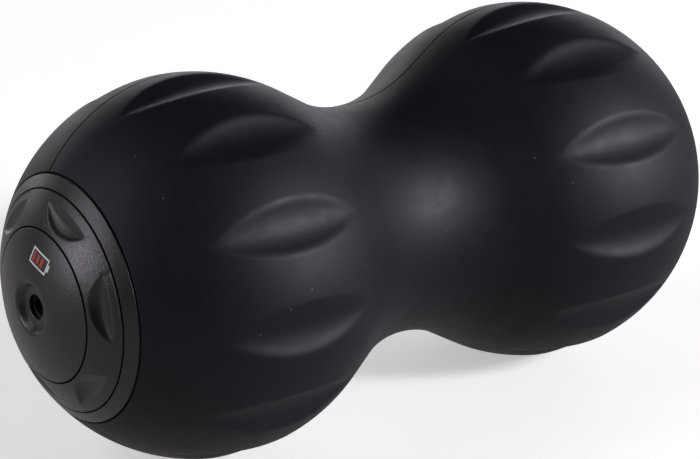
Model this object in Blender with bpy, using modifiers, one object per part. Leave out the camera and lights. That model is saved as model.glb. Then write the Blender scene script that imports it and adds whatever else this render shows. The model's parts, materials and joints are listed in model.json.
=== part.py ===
"""Vibrating double-ball massage roller: two soft-skinned balls joined by a waist, with a charging
inlet at one end and a power button at the other. The long axis lies along X through the origin, and
+X points to the switch end. Lengths are written in millimetres and scaled to metres by MM.
An angle round the long axis is counted from -Y towards +Z, so 90 degrees is straight up."""

import math

import bmesh
import bpy
from mathutils import Matrix, Vector

MM = 0.001

# Outside shape
BALL_R = 57.0
BALL_X = 63.9
WAIST_R = 36.2
WAIST_ARC_R = 48.4
SKIN_T = 4.0
SHELL_T = 2.4
GAP = 0.3
SEAM_ANGLE = 105.0

# Scoops pressed into the skin: leaf-shaped troughs along the ball, spaced round its equator
SCOOPS = 12
SCOOP_HALF_SPAN = 26.0
SCOOP_HALF_WIDTH = 7.6
SCOOP_DEPTH = 2.4
LEAF_OVERRUN = 1.12
LEAF_TIP = 0.08
LEAF_TOP = 4.0

# End caps, as radii from the long axis and heights from the ball centre
BEZEL_R = 36.3
BEZEL_BORE = 32.9
CAP_BORE = BEZEL_R + 0.35
SHELL_BORE = 31.5
SKIRT_R = 30.9
GRIP_R = 32.4
GRIP_BORE = 22.95
DISC_R = 22.5
LAND_TOP = 42.6
WEB_TOP = 44.5
FLANGE_TOP = 41.0
FLANGE_BASE = 38.6
FLANGE_BORE = 22.0
FRAME_TOP = 38.3
FRAME_BASE = 34.2
FRAME_RIM_GAP = 0.85
FRAME_R = 35.4
SCREW_CIRCLE = 26.7
SCREW_ANGLES = (45.0, 165.0, 285.0)
SCREW_R = 1.0
SCREW_HOLE_R = 1.3
PILOT_R = 1.25
DIMPLES = 6
DIMPLE_CIRCLE = 29.0
DIMPLE_HALF_SPAN = 9.8
DIMPLE_HALF_WIDTH = 3.0
DIMPLE_DEPTH = 1.8
DIMPLE_BOW = 1.6
DIMPLE_PHASE = 15.0
HOLE_R = 3.65
DISH_FLOOR = 54.6
DISH_FLAT_R = 6.1
DISH_R = 8.8
SEAT_R = 10.8
BOSS_R = 17.0
BOSS_BORE = 13.5

# Backs of the grip ring and of the centre discs: radii, and heights from the ball centre
GRIP_BASE = 44.8
GRIP_WEB_R = 28.4
GRIP_NECK_TOP = 46.8
GRIP_NECK_R = 24.4
HOOK_BASE = 41.3
HOOK_TOP = 43.3
HOOK_R = 21.8
BEZEL_WEB_R = 29.0
DISC_BACK_R = 54.0
DISC_SKIRT_BASE = 43.6
DISC_SKIRT_BORE = 20.5
COLLAR_BASE = 43.0
COLLAR_R = 7.3
COLLAR_BORE = 5.3
COLLAR_TOP = 52.2
HOLE_LIP_BASE = 53.5
JACK_R = 5.0
JACK_BORE = 3.15
JACK_TOP = 53.2
JACK_FLOOR = 40.0
JACK_PIN_R = 1.0
JACK_PIN_TOP = 50.2
DISC_SCREW_CIRCLE = (BOSS_R + BOSS_BORE) / 2
DISC_SCREW_ANGLES = (15.0, 195.0)
BUTTON_R = 8.6
BUTTON_TOP = 55.6
BUTTON_BASE = 50.0
BUTTON_WALL_R = 7.2
BUTTON_ROOF = 53.4
STEM_R = 2.4
STEM_END = 38.9
GUIDE_BASE = 48.0
TOWER_R = 7.4
TOWER_TOP = 46.0
SPRING_R = 4.6
SPRING_WIRE_R = 0.4
SPRING_TURNS = 4
SPRING_BASE = 46.8
SPRING_TOP = 52.6
TACT_HALF = 3.0
TACT_TOP = 37.0
PLUNGER_R = 1.6
PLUNGER_TOP = 37.6
PIPE_CIRCLE = 11.4
PIPE_R = 1.05
PIPE_ANGLES = (45.0, 75.0, 105.0, 135.0)
BOARD_R = 18.0
BOARD_T = 1.6
BOARD_TOP = FRAME_BASE - 0.4
BOARD_SCREW_CIRCLE = 15.0
BOARD_SCREW_ANGLE = 285.0

# Motor, across the waist
MOTOR_R = 18.0
MOTOR_X0 = 2.0
MOTOR_X1 = 46.0
SHAFT_R = 2.0
WEIGHT_R = 15.0
WEIGHT_T = 8.0
CRADLE_R = 25.0
CRADLE_BORE = 21.1
CRADLE_X0 = 3.0
CRADLE_X1 = 45.0
CRADLE_LIP = 1.8
CRADLE_LIP_R = MOTOR_R + 0.6
LUG_X = 24.0
LUG_Y = 27.4
CAN_WALL = 1.2
BUSH_R = 4.1
MAGNET_R = 16.5
MAGNET_BORE = 13.0
ROTOR_R = 11.8

# Battery pack, in the ball at the charging end
CELL_R = 9.2
CELL_L = 65.0
CELL_Y = 9.8
CELL_X0 = -88.9
HOLDER_R = 21.0
CABLE_CIRCLE = 27.2
CABLE_R = 1.2
CABLE_ANGLE = 195.0
WIRE_R = 0.8

RIB_T = 2.0
FULL_TURN = 360.0
SKIN_STEPS = 48
CAP_STEPS = 32
SHELL_STEPS = 24
CORE_STEPS = 16
SMALL_STEPS = 12
HOLE_STEPS = 8

for old in list(bpy.data.objects):
    bpy.data.objects.remove(old, do_unlink=True)


def collection(name, shown):
    made = bpy.data.collections.new(name)
    made.hide_render = not shown
    bpy.context.scene.collection.children.link(made)
    return made


PARTS = collection("double_ball_massage_roller", True)
CUTTERS = collection("cutters", False)


def material(name, colour, roughness, metallic=0.0):
    made = bpy.data.materials.new(name)
    made.use_nodes = True
    shader = made.node_tree.nodes["Principled BSDF"]
    shader.inputs["Base Color"].default_value = (*colour, 1.0)
    shader.inputs["Roughness"].default_value = roughness
    shader.inputs["Metallic"].default_value = metallic
    made.diffuse_color = (*colour, 1.0)
    return made


SKIN = material("black_silicone", (0.016, 0.016, 0.018), 0.55)
CAP = material("cap_plastic", (0.045, 0.046, 0.05), 0.5)
FRAME = material("frame_plastic", (0.09, 0.09, 0.095), 0.5)
STEEL = material("zinc_steel", (0.55, 0.55, 0.56), 0.35, 1.0)
TUNGSTEN = material("weight_metal", (0.3, 0.29, 0.28), 0.45, 1.0)
CAN = material("motor_can_steel", (0.62, 0.62, 0.64), 0.25, 1.0)
BRASS = material("brass", (0.75, 0.56, 0.25), 0.3, 1.0)
FERRITE = material("ferrite", (0.05, 0.05, 0.055), 0.6)
IRON = material("core_iron", (0.25, 0.24, 0.23), 0.5, 1.0)
ISOLATOR = material("isolator_rubber", (0.03, 0.03, 0.03), 0.8)
BOARD = material("circuit_board", (0.02, 0.16, 0.06), 0.45)
SWITCH = material("switch_body", (0.03, 0.03, 0.03), 0.4)
CELL = material("cell_sleeve", (0.02, 0.16, 0.42), 0.35)
NICKEL = material("nickel_strip", (0.68, 0.66, 0.62), 0.3, 1.0)
PIPE = material("light_pipe", (0.8, 0.82, 0.85), 0.15)
RED = material("red_wire", (0.55, 0.02, 0.02), 0.4)
BLACK = material("black_wire", (0.015, 0.015, 0.015), 0.4)
GREY = material("grey_cable", (0.2, 0.2, 0.21), 0.45)

# Each frame puts a turned profile on its own centre: its local Z points out of the roller's end.
PORT_END = Matrix.Translation((-BALL_X * MM, 0, 0)) @ Matrix.Rotation(math.radians(-90), 4, "Y")
SWITCH_END = Matrix.Translation((BALL_X * MM, 0, 0)) @ Matrix.Rotation(math.radians(90), 4, "Y")
MIDDLE = Matrix.Rotation(math.radians(90), 4, "Y")
UPRIGHT = Matrix.Identity(4)


def place(obj, home, surface, frame):
    home.objects.link(obj)
    obj.matrix_world = frame
    if surface:
        obj.data.materials.append(surface)
    if home is CUTTERS:
        obj.hide_render = True
        obj.display_type = "WIRE"
    return obj


def mesh_object(name, shape, home, surface, frame):
    data = bpy.data.meshes.new(name)
    shape.to_mesh(data)
    shape.free()
    return place(bpy.data.objects.new(name, data), home, surface, frame)


def around(frame, radius, angle):
    """Local X and Y of a point on a circle round the long axis, at an angle seen in the world."""
    turn = math.radians(angle)
    world = Vector((0, -radius * math.cos(turn), radius * math.sin(turn)))
    local = frame.to_3x3().inverted() @ world
    return local.x, local.y


def turned(name, profile, home, surface, frame, steps=CAP_STEPS, at=(0.0, 0.0)):
    """A turned piece. The profile is (height, radius) pairs that run down the outer side; one that
    starts and ends on the axis is solid, and any other closes into a ring."""
    data = bpy.data.meshes.new(name)
    points = [(r * MM, 0, z * MM) for z, r in profile]
    links = [(i, i + 1) for i in range(len(points) - 1)]
    if profile[0][1] > 0:
        links.append((len(points) - 1, 0))
    data.from_pydata(points, links, [])
    spot = frame @ Matrix.Translation((at[0] * MM, at[1] * MM, 0))
    obj = place(bpy.data.objects.new(name, data), home, surface, spot)
    screw = obj.modifiers.new("turn", "SCREW")
    screw.axis = "Z"
    screw.angle = math.radians(FULL_TURN)
    screw.steps = steps
    screw.render_steps = steps
    screw.use_merge_vertices = True
    screw.merge_threshold = 0.00001
    screw.use_smooth_shade = True
    return obj


def rods(name, spots, radius, low, high, home, surface, frame, steps=HOLE_STEPS):
    """Straight rods along the frame's axis, as one mesh."""
    shape = bmesh.new()
    for x, y in spots:
        middle = Matrix.Translation((x * MM, y * MM, (low + high) / 2 * MM))
        bmesh.ops.create_cone(shape, cap_ends=True, segments=steps, radius1=radius * MM,
                              radius2=radius * MM, depth=(high - low) * MM, matrix=middle)
    return mesh_object(name, shape, home, surface, frame)


def boxes(name, sizes, home, surface, frame):
    """Boxes, each given by its centre and its size, as one mesh."""
    shape = bmesh.new()
    for centre, size in sizes:
        spot = Matrix.Translation(Vector(centre) * MM)
        scale = Matrix.Diagonal((*(Vector(size) * MM), 1))
        bmesh.ops.create_cube(shape, size=1.0, matrix=spot @ scale)
    return mesh_object(name, shape, home, surface, frame)


def combine(obj, other, operation="DIFFERENCE"):
    step = obj.modifiers.new(operation.lower(), "BOOLEAN")
    step.object = other
    step.operation = operation
    step.solver = "EXACT"
    return obj


def baked(obj):
    """Turns the object's modifiers, or its curve, into plain mesh faces, shaded by angle."""
    bpy.context.view_layer.update()
    graph = bpy.context.evaluated_depsgraph_get()
    data = bpy.data.meshes.new_from_object(obj.evaluated_get(graph))
    shape = bmesh.new()
    shape.from_mesh(data)
    bmesh.ops.remove_doubles(shape, verts=shape.verts, dist=0.000002)
    shape.to_mesh(data)
    shape.free()
    data.shade_smooth()
    data.set_sharp_from_angle(angle=math.radians(32))
    name, spot, homes = obj.name, obj.matrix_world.copy(), list(obj.users_collection)
    surfaces = [slot.material for slot in obj.material_slots]
    bpy.data.objects.remove(obj, do_unlink=True)
    solid = bpy.data.objects.new(name, data)
    homes[0].objects.link(solid)
    solid.matrix_world = spot
    data.materials.clear()
    for surface in surfaces[:1]:
        data.materials.append(surface)
    return solid


# --- Outside outline -------------------------------------------------------------------------

WAIST_Y = WAIST_R + WAIST_ARC_R
REACH = math.hypot(BALL_X, WAIST_Y)
JOIN_ANGLE = math.atan2(WAIST_Y, -BALL_X) - math.acos((BALL_R + WAIST_ARC_R) / REACH)


def ball_height(radius, at_radius):
    """Height above the ball centre of a sphere of this radius, at a distance from the long axis."""
    return math.sqrt(radius ** 2 - at_radius ** 2)


def outline(inset, start_angle, ball_steps, waist_steps):
    """(x, radius) points of the outside outline moved in by inset, from the +X end to the -X end."""
    ball = BALL_R - inset
    arc = WAIST_ARC_R + inset
    start = math.radians(start_angle)
    half = []
    for i in range(ball_steps + 1):
        angle = start + (JOIN_ANGLE - start) * i / ball_steps
        half.append((BALL_X + ball * math.cos(angle), ball * math.sin(angle)))
    lean = math.pi / 2 - (math.pi - JOIN_ANGLE)
    waist = []
    for i in range(waist_steps + 1):
        angle = lean - 2 * lean * i / waist_steps
        waist.append((arc * math.sin(angle), WAIST_Y - arc * math.cos(angle)))
    return half + waist + [(-x, r) for x, r in reversed(half)]


def outline_radius(inset, x):
    """Radius of the moved-in outline at x, for a rib's foot."""
    ball = BALL_R - inset
    arc = WAIST_ARC_R + inset
    lean = math.pi / 2 - (math.pi - JOIN_ANGLE)
    waist_end = arc * math.sin(lean)
    ball_start = BALL_X + ball * math.cos(JOIN_ANGLE)
    if abs(x) >= ball_start:
        return math.sqrt(ball ** 2 - (abs(x) - BALL_X) ** 2)
    if abs(x) <= waist_end:
        return WAIST_Y - math.sqrt(arc ** 2 - x ** 2)
    low = WAIST_Y - arc * math.cos(lean)
    high = ball * math.sin(JOIN_ANGLE)
    return low + (high - low) * (abs(x) - waist_end) / (ball_start - waist_end)


# --- Cutters ---------------------------------------------------------------------------------

def leaf(shape, seat, half_span, half_width, depth, bow=0.0, across_steps=4, along_steps=8):
    """Adds one leaf-shaped trough to a cutter. It lies along the seat's X on top of a ball centred on
    the seat. Along the leaf, from -1 to 1 at its pointed tips, its half width falls as 1 - t * t, and
    across it the floor is a parabola that meets the ball at the leaf's edge. A bow bends it sideways."""
    rings = []
    for j in range(along_steps + 1):
        t = LEAF_OVERRUN * (2 * j / along_steps - 1)
        lean = math.radians(half_span) * t
        taper = 1 - t * t
        width = max(taper, LEAF_TIP)
        section = []
        for i in range(across_steps + 1):
            side = LEAF_OVERRUN * (2 * i / across_steps - 1)
            floor = BALL_R - depth * (taper - side * side * width)
            section.append((side * width * half_width + bow * taper, floor))
        section += [(section[-1][0], BALL_R + LEAF_TOP), (section[0][0], BALL_R + LEAF_TOP)]
        ring = []
        for across, reach in section:
            spin = across / BALL_R
            spot = Vector((reach * math.sin(lean), reach * math.cos(lean) * math.sin(spin),
                           reach * math.cos(lean) * math.cos(spin)))
            ring.append(shape.verts.new((seat @ spot) * MM))
        rings.append(ring)
    count = len(rings[0])
    for low, high in zip(rings, rings[1:]):
        for i in range(count):
            after = (i + 1) % count
            shape.faces.new((low[i], low[after], high[after], high[i]))
    shape.faces.new(rings[0][::-1])
    shape.faces.new(rings[-1])


def scoop_cutters():
    """The troughs of both balls, as one cutter."""
    shape = bmesh.new()
    for ball in (-1, 1):
        for k in range(SCOOPS):
            turn = Matrix.Rotation(math.radians(k * FULL_TURN / SCOOPS), 4, "X")
            seat = Matrix.Translation((ball * BALL_X, 0, 0)) @ turn
            leaf(shape, seat, SCOOP_HALF_SPAN, SCOOP_HALF_WIDTH, SCOOP_DEPTH)
    bmesh.ops.recalc_face_normals(shape, faces=shape.faces)
    return mesh_object("scoop_troughs", shape, CUTTERS, None, UPRIGHT)


def half_space(name, side):
    """A box that covers one side of the seam plane and stops half a gap past it."""
    tilt = Matrix.Rotation(math.radians(90 - SEAM_ANGLE), 4, "X")
    centre = (0, side * (100 - GAP / 2), 0)
    return boxes(name, [(centre, (300, 200, 200))], CUTTERS, None, tilt)


FRONT_CUT = half_space("front_side", -1)
REAR_CUT = half_space("rear_side", 1)
TROUGHS = scoop_cutters()
SHELL_START = math.degrees(math.asin(SHELL_BORE / (BALL_R - SKIN_T - GAP)))
INNER = outline(SKIN_T, SHELL_START, 5, 4)
CORE = turned("core", [(INNER[0][0], 0)] + INNER + [(INNER[-1][0], 0)], CUTTERS, None, MIDDLE,
              SHELL_STEPS)
END_BORES = []
for label, frame in (("port", PORT_END), ("switch", SWITCH_END)):
    END_BORES.append(rods(label + "_bore", [(0, 0)], CAP_BORE, 30, 62, CUTTERS, None, frame,
                          SKIN_STEPS))

# --- Skins and shells ------------------------------------------------------------------------


def skin(name, away):
    equator_step = (math.degrees(JOIN_ANGLE) - 90) / 3
    rim = outline(0, 90 - 5 * equator_step, 8, 5)
    blank = turned(name, [(rim[0][0], 0)] + rim + [(rim[-1][0], 0)], PARTS, SKIN, MIDDLE,
                   SKIN_STEPS)
    for cutter in (CORE, *END_BORES, TROUGHS, away):
        combine(blank, cutter)
    return blank


skin("front_skin", REAR_CUT)
skin("rear_skin", FRONT_CUT)


def ribbed_inside(inset):
    """Inside outline of a shell, from the -X end to the +X end, with the four ribs that locate the
    battery holder and the motor cradle. Each rib has a tall wall and a lower step beside it."""
    hold = HOLDER_R + GAP
    clasp = CRADLE_R + GAP
    cell_clear = CELL_Y + CELL_R + 0.5
    lip_clear = CRADLE_BORE - 1.9
    near_x = CELL_X0 + 1.7
    far_x = CELL_X0 + CELL_L - 1.7
    walls = (
        (near_x - RIB_T, near_x, cell_clear, near_x + 3.2, hold),
        (far_x + RIB_T, far_x, cell_clear, far_x - 3.2, hold),
        (CRADLE_X0 - 0.4 - RIB_T, CRADLE_X0 - 0.4, lip_clear, CRADLE_X0 + 3.0, clasp),
        (CRADLE_X1 + 0.4 + RIB_T, CRADLE_X1 + 0.4, lip_clear, CRADLE_X1 - 3.0, clasp),
    )
    angle = math.degrees(math.asin(SHELL_BORE / (BALL_R - inset)))
    plain = outline(inset, angle, 5, 4)[::-1]
    ribs = []
    for start, shelf, tall, end, low in walls:
        run = [(start, outline_radius(inset, start)), (start, tall), (shelf, tall),
               (shelf, low), (end, low), (end, outline_radius(inset, end))]
        ribs.append(run if start < end else run[::-1])
    points = [p for p in plain if not any(run[0][0] - 0.5 < p[0] < run[-1][0] + 0.5 for run in ribs)]
    for run in sorted(ribs):
        place_at = sum(1 for p in points if p[0] < run[0][0])
        points[place_at:place_at] = run
    return points


def cable_notch():
    spot = around(MIDDLE, CABLE_CIRCLE, CABLE_ANGLE)
    return rods("cable_notch", [spot], CABLE_R + 0.8, -92, 60, CUTTERS, None, MIDDLE)


NOTCH = cable_notch()


def shell(name, away):
    inset = SKIN_T + GAP
    profile = outline(inset, SHELL_START, 5, 4) + ribbed_inside(inset + SHELL_T)
    blank = turned(name, profile, PARTS, FRAME, MIDDLE, SHELL_STEPS)
    combine(blank, NOTCH)
    combine(blank, away)
    return blank


shell("front_shell", REAR_CUT)
shell("rear_shell", FRONT_CUT)

# --- End caps --------------------------------------------------------------------------------


def dome(radius, low, high, steps):
    """Points over a spherical top from one distance from the axis to another."""
    return [(ball_height(radius, r), r)
            for r in (low + (high - low) * i / steps for i in range(steps + 1))]


def screw(name, frame, circle, angle, seat, head_r, head_t, shank_r, length):
    """A pan-head screw: the head sits above the seat when the length points inwards, and below it
    when the length is negative and the screw points out of the end."""
    way = 1 if length > 0 else -1
    tip = seat - length
    head = seat + way * head_t
    profile = [(head, 0), (head, head_r * 0.8), (head - way * head_t * 0.35, head_r),
               (seat, head_r), (seat, shank_r), (tip + way * shank_r, shank_r), (tip, 0)]
    if way < 0:
        profile.reverse()
    return turned(name, profile, PARTS, STEEL, frame, 10, around(frame, circle, angle))


def bezel_profile():
    return dome(BALL_R, BEZEL_BORE, BEZEL_R, 2) + [
        (LAND_TOP, BEZEL_R), (LAND_TOP, SKIRT_R), (FLANGE_BASE, SKIRT_R),
        (FLANGE_BASE, FLANGE_BORE), (FLANGE_TOP, FLANGE_BORE), (FLANGE_TOP, BEZEL_WEB_R),
        (WEB_TOP, BEZEL_WEB_R), (WEB_TOP, BEZEL_BORE)]


def grip_profile():
    return dome(BALL_R, GRIP_BORE, GRIP_R, 3) + [
        (GRIP_BASE, GRIP_R), (GRIP_BASE, GRIP_WEB_R), (GRIP_NECK_TOP, GRIP_NECK_R),
        (HOOK_BASE, GRIP_NECK_R), (HOOK_BASE, HOOK_R), (HOOK_TOP, HOOK_R), (HOOK_TOP, GRIP_BORE)]


def dimples(frame, label):
    """The finger dimples of a grip ring, as one cutter: short leaves that bow towards the axis."""
    shape = bmesh.new()
    lean = Matrix.Rotation(math.asin(DIMPLE_CIRCLE / BALL_R), 4, "Y")
    sideways = Matrix.Rotation(math.radians(90), 4, "Z")
    for k in range(DIMPLES):
        x, y = around(frame, 1.0, DIMPLE_PHASE + k * FULL_TURN / DIMPLES)
        seat = Matrix.Rotation(math.atan2(y, x), 4, "Z") @ lean @ sideways
        leaf(shape, seat, DIMPLE_HALF_SPAN, DIMPLE_HALF_WIDTH, DIMPLE_DEPTH, DIMPLE_BOW,
             along_steps=6)
    bmesh.ops.recalc_face_normals(shape, faces=shape.faces)
    return mesh_object(label + "_dimples", shape, CUTTERS, None, frame)


def frame_profile(tower):
    """Outline of the end frame. At the switch end a hollow tower guides the button's stem."""
    rim = BALL_R - SKIN_T - GAP - SHELL_T - FRAME_RIM_GAP
    middle = FRAME_R - 1.4
    top = [(FRAME_TOP, COLLAR_BORE), (FRAME_TOP, ball_height(rim, FRAME_TOP))]
    under = []
    if tower:
        guide = STEM_R + 0.5
        top = [(TOWER_TOP, guide), (TOWER_TOP, TOWER_R), (FRAME_TOP, TOWER_R), top[1]]
        under = [(FLANGE_TOP, COLLAR_BORE), (FLANGE_TOP, guide)]
    return top + [(ball_height(rim, middle), middle), (ball_height(rim, FRAME_R), FRAME_R),
                  (FRAME_BASE, FRAME_R), (FRAME_BASE, COLLAR_BORE)] + under


def end_cap(label, frame, tower):
    """The pieces that both ends share: frame, bezel ring with its screws, and grip ring."""
    below = FRAME_BASE - 1.2
    spots = [around(frame, SCREW_CIRCLE, a) for a in SCREW_ANGLES]
    disc_spots = [around(frame, DISC_SCREW_CIRCLE, a) for a in DISC_SCREW_ANGLES]
    board_spots = [around(frame, BOARD_SCREW_CIRCLE, BOARD_SCREW_ANGLE)]
    bulkhead = turned(label + "_end_frame", frame_profile(tower), PARTS, FRAME, frame,
                      SHELL_STEPS)
    for use, places, radius, top in (
            ("pilots", spots, SCREW_HOLE_R, FRAME_TOP + 1.7),
            ("disc_holes", disc_spots, PILOT_R, FRAME_TOP + 1.7),
            ("disc_sinks", disc_spots, 2.2, FRAME_BASE + 2.0),
            ("board_pilot", board_spots, PILOT_R, FRAME_BASE + 2.8)):
        combine(bulkhead, rods(f"{label}_{use}", places, radius, below, top, CUTTERS, None, frame))
    bezel = turned(label + "_bezel_ring", bezel_profile(), PARTS, CAP, frame)
    combine(bezel, rods(label + "_bezel_holes", spots, SCREW_HOLE_R, FLANGE_BASE - 0.6,
                        FLANGE_TOP + 1.0, CUTTERS, None, frame))
    for n, angle in enumerate(SCREW_ANGLES, 1):
        screw(f"{label}_bezel_screw_{n}", frame, SCREW_CIRCLE, angle, FLANGE_TOP + 0.05, 2.0, 1.6,
              SCREW_R, 6.3)
    grip = turned(label + "_grip_ring", grip_profile(), PARTS, CAP, frame)
    combine(grip, dimples(frame, label))
    for n, angle in enumerate(DISC_SCREW_ANGLES, 1):
        screw(f"{label}_disc_screw_{n}", frame, DISC_SCREW_CIRCLE, angle, FRAME_BASE + 1.95, 1.9,
              1.5, SCREW_R - 0.05, -9.0)


end_cap("port", PORT_END, False)
end_cap("switch", SWITCH_END, True)


def disc_underside(inner):
    """The moulded back of a centre disc: rim skirt, screw boss ring and the given inner tube."""
    boss_base = FRAME_TOP + GAP
    under = [(DISC_SKIRT_BASE, DISC_R), (DISC_SKIRT_BASE, DISC_SKIRT_BORE)]
    under += [(ball_height(DISC_BACK_R, r), r) for r in (DISC_SKIRT_BORE, BOSS_R)]
    under += [(boss_base, BOSS_R), (boss_base, BOSS_BORE)]
    return under + [(ball_height(DISC_BACK_R, BOSS_BORE), BOSS_BORE)] + inner


def disc_pilots(frame, label):
    spots = [around(frame, DISC_SCREW_CIRCLE, a) for a in DISC_SCREW_ANGLES]
    low = FRAME_TOP - GAP
    return rods(label + "_disc_pilots", spots, PILOT_R, low, low + 8.5, CUTTERS, None, frame)


DISH = [(DISH_FLOOR, DISH_FLAT_R), (DISH_FLOOR + 1.3, 7.2), (DISH_FLOOR + 1.75, 7.95)]
port_disc = turned(
    "port_disc",
    [(DISH_FLOOR, HOLE_R)] + DISH + dome(BALL_R, DISH_R, DISC_R, 3)
    + disc_underside([(COLLAR_TOP, COLLAR_R), (COLLAR_BASE, COLLAR_R), (COLLAR_BASE, COLLAR_BORE),
                      (HOLE_LIP_BASE, COLLAR_BORE), (HOLE_LIP_BASE, HOLE_R)]),
    PARTS, CAP, PORT_END)
combine(port_disc, disc_pilots(PORT_END, "port"))

BUTTON_BORE = BUTTON_R + GAP
control_disc = turned(
    "control_disc",
    [(DISH_FLOOR + 0.55, BUTTON_BORE)] + dome(BALL_R, SEAT_R, DISC_R, 3)
    + disc_underside([(52.9, 10.0), (GUIDE_BASE, 10.0), (GUIDE_BASE, BUTTON_BORE)]),
    PARTS, CAP, SWITCH_END)
combine(control_disc, disc_pilots(SWITCH_END, "switch"))
PIPE_SPOTS = [around(SWITCH_END, PIPE_CIRCLE, a) for a in PIPE_ANGLES]
PIPE_BASE = BOARD_TOP + 1.1
PIPE_TOP = 55.7
pipe_bores = rods("pipe_bores", PIPE_SPOTS, PIPE_R + 0.25, PIPE_BASE - 2, PIPE_TOP + 2, CUTTERS,
                  None, SWITCH_END)
combine(control_disc, pipe_bores)
combine(bpy.data.objects["switch_end_frame"], pipe_bores)
for n, spot in enumerate(PIPE_SPOTS, 1):
    rods(f"light_pipe_{n}", [spot], PIPE_R, PIPE_BASE, PIPE_TOP, PARTS, PIPE, SWITCH_END, 10)

# --- Charging inlet --------------------------------------------------------------------------

turned("jack_body", [(JACK_FLOOR, 0), (JACK_FLOOR, JACK_BORE), (JACK_TOP, JACK_BORE),
                     (JACK_TOP, JACK_R), (FRAME_BASE, JACK_R), (FRAME_BASE, 0)],
       PARTS, SWITCH, PORT_END, CORE_STEPS)
turned("jack_pin", [(JACK_PIN_TOP, 0), (JACK_PIN_TOP - 0.2, 0.6 * JACK_PIN_R),
                    (JACK_PIN_TOP - 0.8, JACK_PIN_R), (JACK_FLOOR + GAP, JACK_PIN_R),
                    (JACK_FLOOR + GAP, 0)], PARTS, BRASS, PORT_END, SMALL_STEPS)

# --- Button and switch -----------------------------------------------------------------------

turned("power_button", [(BUTTON_TOP, 0), (BUTTON_TOP - 0.1, 4.5), (BUTTON_TOP - 0.45, 7.4),
                        (BUTTON_TOP - 1.0, BUTTON_R), (BUTTON_BASE, BUTTON_R),
                        (BUTTON_BASE, BUTTON_WALL_R), (BUTTON_ROOF, BUTTON_WALL_R),
                        (BUTTON_ROOF, STEM_R), (STEM_END, STEM_R), (STEM_END, 0)],
       PARTS, CAP, SWITCH_END, SHELL_STEPS)


def wire(name, points, radius, surface, frame, resolution=1):
    """A round wire through these points, with both ends closed."""
    data = bpy.data.curves.new(name, "CURVE")
    data.dimensions = "3D"
    data.bevel_depth = radius * MM
    data.bevel_resolution = resolution
    data.use_fill_caps = True
    spline = data.splines.new("POLY")
    spline.points.add(len(points) - 1)
    for point, spot in zip(spline.points, points):
        point.co = (*(Vector(spot) * MM), 1)
    return baked(place(bpy.data.objects.new(name, data), PARTS, surface, frame))


def coil(turns, per_turn, radius, low, high):
    points = []
    for i in range(turns * per_turn + 1):
        angle = 2 * math.pi * i / per_turn
        points.append((radius * math.cos(angle), radius * math.sin(angle),
                       low + (high - low) * i / (turns * per_turn)))
    return points


wire("button_spring", coil(SPRING_TURNS, 10, SPRING_R, SPRING_BASE, SPRING_TOP), SPRING_WIRE_R,
     STEEL, SWITCH_END, 1)

tact = boxes("tact_switch", [((0, 0, (FRAME_BASE + TACT_TOP) / 2),
                              (2 * TACT_HALF, 2 * TACT_HALF, TACT_TOP - FRAME_BASE))],
             PARTS, SWITCH, SWITCH_END)
combine(tact, rods("tact_plunger", [(0, 0)], PLUNGER_R, TACT_TOP - 1.0, PLUNGER_TOP, CUTTERS, None,
                   SWITCH_END), "UNION")

# --- Boards ----------------------------------------------------------------------------------


def board(name, frame, chips, label):
    """A round circuit board with its chips on the inner face."""
    low = BOARD_TOP - BOARD_T
    plate = rods(name, [(0, 0)], BOARD_R, low, BOARD_TOP, PARTS, BOARD, frame, SHELL_STEPS)
    spot = [around(frame, BOARD_SCREW_CIRCLE, BOARD_SCREW_ANGLE)]
    combine(plate, rods(label + "_board_hole", spot, PILOT_R, low - 1, BOARD_TOP + 1, CUTTERS,
                        None, frame))
    for n, (x, y, wide, deep, tall) in enumerate(chips, 1):
        centre = (x, y, low - tall / 2 + 0.2)
        chip = boxes(f"{label}_chip_{n}", [(centre, (wide, deep, tall))], CUTTERS, None, frame)
        combine(plate, chip, "UNION")
    screw(f"{label}_board_screw", frame, BOARD_SCREW_CIRCLE, BOARD_SCREW_ANGLE, low - 0.05, 1.9,
          1.4, SCREW_R - 0.05, -5.0)


board("charge_board", PORT_END, ((6.5, 0.5, 6.0, 6.0, 1.4), (-7.0, 1.0, 5.0, 4.0, 2.0)), "port")
board("control_board", SWITCH_END, ((6.0, 2.0, 7.0, 7.0, 1.4), (-7.0, -2.0, 5.0, 4.0, 2.2),
                                    (-4.5, 9.0, 4.0, 3.0, 1.6)), "switch")

# --- Motor -----------------------------------------------------------------------------------

BUSH_HOLE = BUSH_R + GAP
SHAFT_BORE = SHAFT_R + GAP
turned("motor_can", [(MOTOR_X1, MOTOR_R - CAN_WALL), (MOTOR_X1, MOTOR_R), (MOTOR_X0, MOTOR_R),
                     (MOTOR_X0, BUSH_HOLE), (MOTOR_X0 + CAN_WALL, BUSH_HOLE),
                     (MOTOR_X0 + CAN_WALL, MOTOR_R - CAN_WALL)], PARTS, CAN, MIDDLE, CORE_STEPS)
CAP_INNER_X = MOTOR_X1 - 3.4
turned("motor_end_cap", [(MOTOR_X1, BUSH_HOLE), (MOTOR_X1, MAGNET_R), (CAP_INNER_X, MAGNET_R),
                         (CAP_INNER_X, BUSH_HOLE)], PARTS, SWITCH, MIDDLE, CORE_STEPS)
for label, low, high in (("near", 1.4, 5.4), ("far", 42.2, 46.6)):
    turned(label + "_bush", [(high, SHAFT_BORE), (high, BUSH_R), (low, BUSH_R),
                             (low, SHAFT_BORE)], PARTS, BRASS, MIDDLE, SMALL_STEPS)
turned("magnet_ring", [(38.0, MAGNET_BORE), (38.0, MAGNET_R), (9.0, MAGNET_R),
                       (9.0, MAGNET_BORE)], PARTS, FERRITE, MIDDLE, CORE_STEPS)
turned("rotor_core", [(36.0, SHAFT_BORE), (36.0, ROTOR_R), (11.0, ROTOR_R), (11.0, SHAFT_BORE)],
       PARTS, IRON, MIDDLE, CORE_STEPS)
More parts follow.
